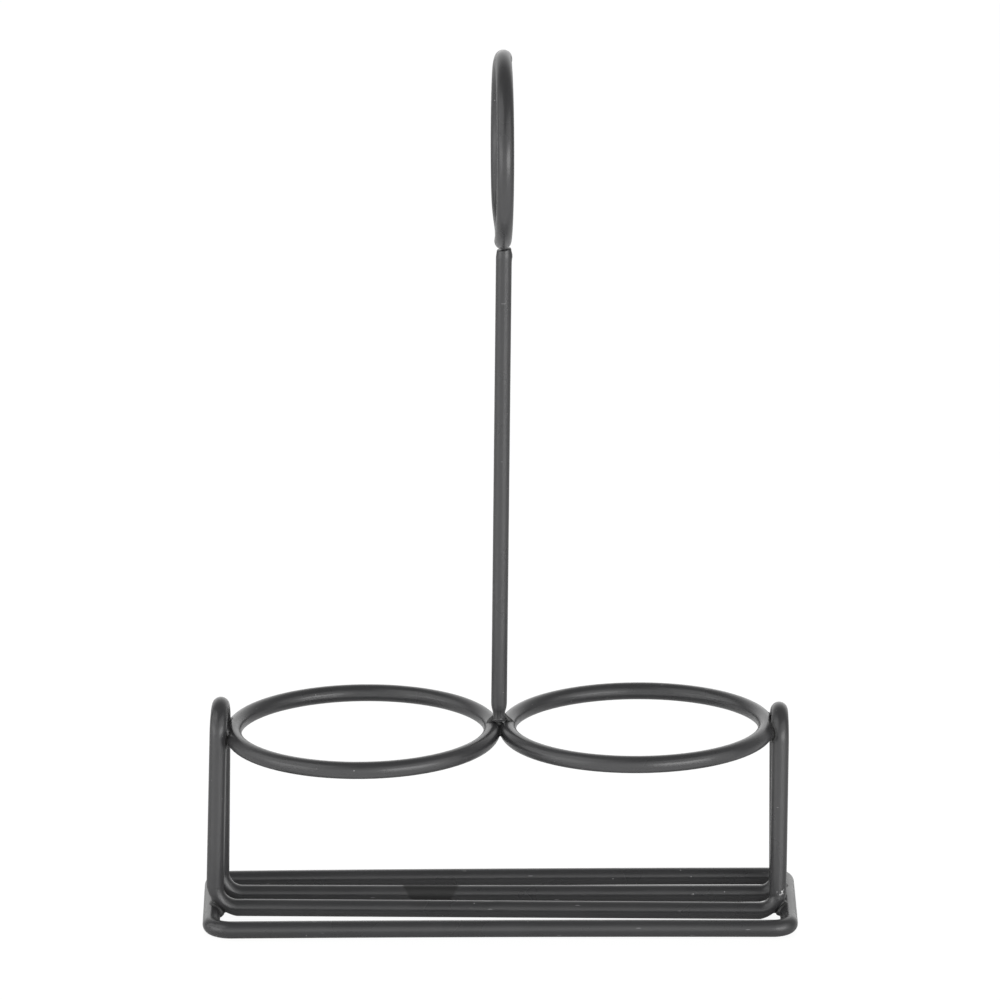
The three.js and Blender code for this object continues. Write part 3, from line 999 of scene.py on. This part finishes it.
def white_world():
    """World: white to look at, with a dim room round the stand and a white backdrop behind it."""
    world = bpy.data.worlds.new("White studio")
    world.use_nodes = True
    tree = world.node_tree
    back = tree.nodes["Background"]
    path = add(tree, "ShaderNodeLightPath").outputs
    seen = reckon(tree, "MAXIMUM", path["Is Camera Ray"], path["Is Transmission Ray"])
    _, rearward, _ = split(tree, add(tree, "ShaderNodeTexCoord").outputs["Generated"])
    room = ranged(tree, rearward, 0.22, 0.45, 0.0, 0.8)
    backdrop = ranged(tree, rearward, 0.0, 1.09, 0.6, 1.0)
    given = {"Factor": seen, "A": reckon(tree, "ADD", room, backdrop), "B": 1.0}
    glow = add(tree, "ShaderNodeMix", given, data_type="FLOAT").outputs["Result"]
    give(tree, glow, back.inputs["Strength"])
    back.inputs["Color"].default_value = (1, 1, 1, 1)
    return world


def bounce_glow_mask(tree):
    """Mask of the floor's painted bounce glow in front of the stand: 0 up to the base and behind it, as
    painted contact shade, fading far away.
    """
    place = object_place(tree)
    far = add(tree, "ShaderNodeVectorMath", {0: place}, operation="LENGTH").outputs["Value"]
    _, rearward, _ = split(tree, place)
    clear = ranged(tree, rearward, 1.0, 0.0, BASE_LOW.y - 28 * MM, BASE_LOW.y - 6 * MM)
    return reckon(tree, "MULTIPLY", clear, ranged(tree, far, 1.0, 0.0, 0.3, 0.7))


def floor_paper(shade):
    """Material: white paper floor that keeps a faint shadow and looks as white as the background, and glows
    on the stand as painted bounce light.
    """
    paper = bpy.data.materials.new("White floor paper")
    paper.use_nodes = True
    tree = paper.node_tree
    shader = tree.nodes["Principled BSDF"]
    fibres = noise(tree, scaled_place(tree, 30 * MM))
    tone = between(tree, fibres, tuple(0.995 * part for part in shade), tuple(shade))
    give(tree, tone, shader.inputs["Base Color"])
    shader.inputs["Roughness"].default_value = 0.25
    seen = add(tree, "ShaderNodeLightPath").outputs["Is Camera Ray"]
    # Painted bounce light: to all rays but the camera's, the floor glows where it is open, and not near the
    # base
    lit = reckon(tree, "MULTIPLY", bounce_glow_mask(tree), ranged(tree, seen, FLOOR_GLOW, 0.0))
    under = add(tree, "ShaderNodeEmission", {"Strength": lit}).outputs["Emission"]
    lit_paper = add(tree, "ShaderNodeAddShader", {0: shader.outputs["BSDF"], 1: under}).outputs["Shader"]
    white = add(tree, "ShaderNodeEmission", {"Strength": WHITE_GLOW}).outputs["Emission"]
    parts = {"Fac": reckon(tree, "MULTIPLY", seen, WHITE_SHARE), 1: lit_paper, 2: white}
    whole = add(tree, "ShaderNodeMixShader", parts).outputs["Shader"]
    give(tree, whole, tree.nodes["Material Output"].inputs["Surface"])
    return paper


def soft_box(name, round_to, up, width, height, glow):
    """Area lamp turned to face the stand."""
    turn, tilt = math.radians(round_to), math.radians(up)
    way = Vector((math.sin(turn) * math.cos(tilt), -math.cos(turn) * math.cos(tilt), math.sin(tilt)))
    lamp = bpy.data.lights.new(name, "AREA")
    lamp.shape = "RECTANGLE"
    lamp.size, lamp.size_y = width, height
    lamp.energy = math.pi * width * height * glow
    made = bpy.data.objects.new(name, lamp)
    made.location = LAMP_DISTANCE * way + Vector((0, 0, LAMP_AIM))
    made.rotation_euler = (-way).to_track_quat("-Z", "Y").to_euler()
    made.visible_camera = False
    bpy.context.scene.collection.objects.link(made)


class CRUET_OT_stage(bpy.types.Operator):
    """Sets the floor, the light and the camera"""

    bl_idname = "cruet.stage"
    bl_label = "Studio Stage"
    bl_options = {"REGISTER", "UNDO"}

    def execute(self, context):
        scene = context.scene
        stage = scene.cruet_studio_stage
        scene.view_settings.view_transform = "Standard"
        scene.world = white_world()
        self.floor(scene, stage)
        for box in SOFT_BOXES:
            soft_box(*box)
        self.camera(scene, stage)
        return {"FINISHED"}

    def floor(self, scene, stage):
        sheet = bmesh.new()
        bmesh.ops.create_grid(sheet, x_segments=8, y_segments=8, size=3.0)
        mesh = bpy.data.meshes.new("floor")
        sheet.to_mesh(mesh)
        sheet.free()
        mesh.materials.append(floor_paper(stage.floor_colour))
        floor = bpy.data.objects.new("floor", mesh)
        floor.location.z = -0.02 * MM
        scene.collection.objects.link(floor)

    def camera(self, scene, stage):
        lens = bpy.data.cameras.new("Photo camera")
        lens.sensor_width = 36
        lens.lens = stage.camera_lens
        lens.clip_end = 50
        camera = bpy.data.objects.new("Photo camera", lens)
        turn = Matrix.Rotation(stage.camera_azimuth, 4, "Z")
        tilt = Matrix.Rotation(math.pi / 2 - stage.camera_elevation, 4, "X")
        back = Matrix.Translation((0, 0, stage.camera_distance))
        roll = Matrix.Rotation(stage.camera_roll, 4, "Z")
        target = Matrix.Translation((stage.camera_side, 0, stage.camera_target))
        camera.matrix_world = target @ turn @ tilt @ back @ roll
        scene.collection.objects.link(camera)
        scene.camera = camera


class VIEW3D_PT_cruet_stand(bpy.types.Panel):
    """Sidebar panel that lists the pieces of the stand and their settings"""

    bl_label = "Cruet Stand"
    bl_space_type = "VIEW_3D"
    bl_region_type = "UI"
    bl_category = "Cruet Stand"

    def draw(self, context):
        column = self.layout.column(align=True)
        for operator in OPERATORS:
            column.operator(operator.bl_idname)
        for settings in SETTINGS:
            box = self.layout.box()
            for key in SETTINGS[settings].__annotations__:
                box.prop(getattr(context.scene, settings), key)


SETTINGS = {
    "cruet_wire_sizes": WireSizes,
    "cruet_out_of_true": OutOfTrue,
    "cruet_coat_finish": CoatFinish,
    "cruet_studio_stage": StudioStage,
}
OPERATORS = (
    CRUET_OT_base_frame,
    CRUET_OT_cradle,
    CRUET_OT_bottle_rings,
    CRUET_OT_stem,
    CRUET_OT_handle_loop,
    CRUET_OT_base_welds,
    CRUET_OT_ring_welds,
    CRUET_OT_centre_weld,
    CRUET_OT_loop_weld,
    CRUET_OT_stage,
)
CLASSES = (*SETTINGS.values(), *OPERATORS, VIEW3D_PT_cruet_stand)


def register():
    for cls in CLASSES:
        bpy.utils.register_class(cls)
    for name, cls in SETTINGS.items():
        setattr(bpy.types.Scene, name, bpy.props.PointerProperty(type=cls))


def unregister():
    for name in SETTINGS:
        delattr(bpy.types.Scene, name)
    for cls in reversed(CLASSES):
        bpy.utils.unregister_class(cls)


def main():
    register()
    bpy.ops.cruet.base_frame()
    bpy.ops.cruet.cradle()
    bpy.ops.cruet.bottle_rings()
    bpy.ops.cruet.stem()
    bpy.ops.cruet.handle_loop()
    bpy.ops.cruet.base_welds()
    bpy.ops.cruet.ring_welds()
    bpy.ops.cruet.centre_weld()
    bpy.ops.cruet.loop_weld()
    bpy.ops.cruet.stage()


if __name__ == "__main__":
    main()
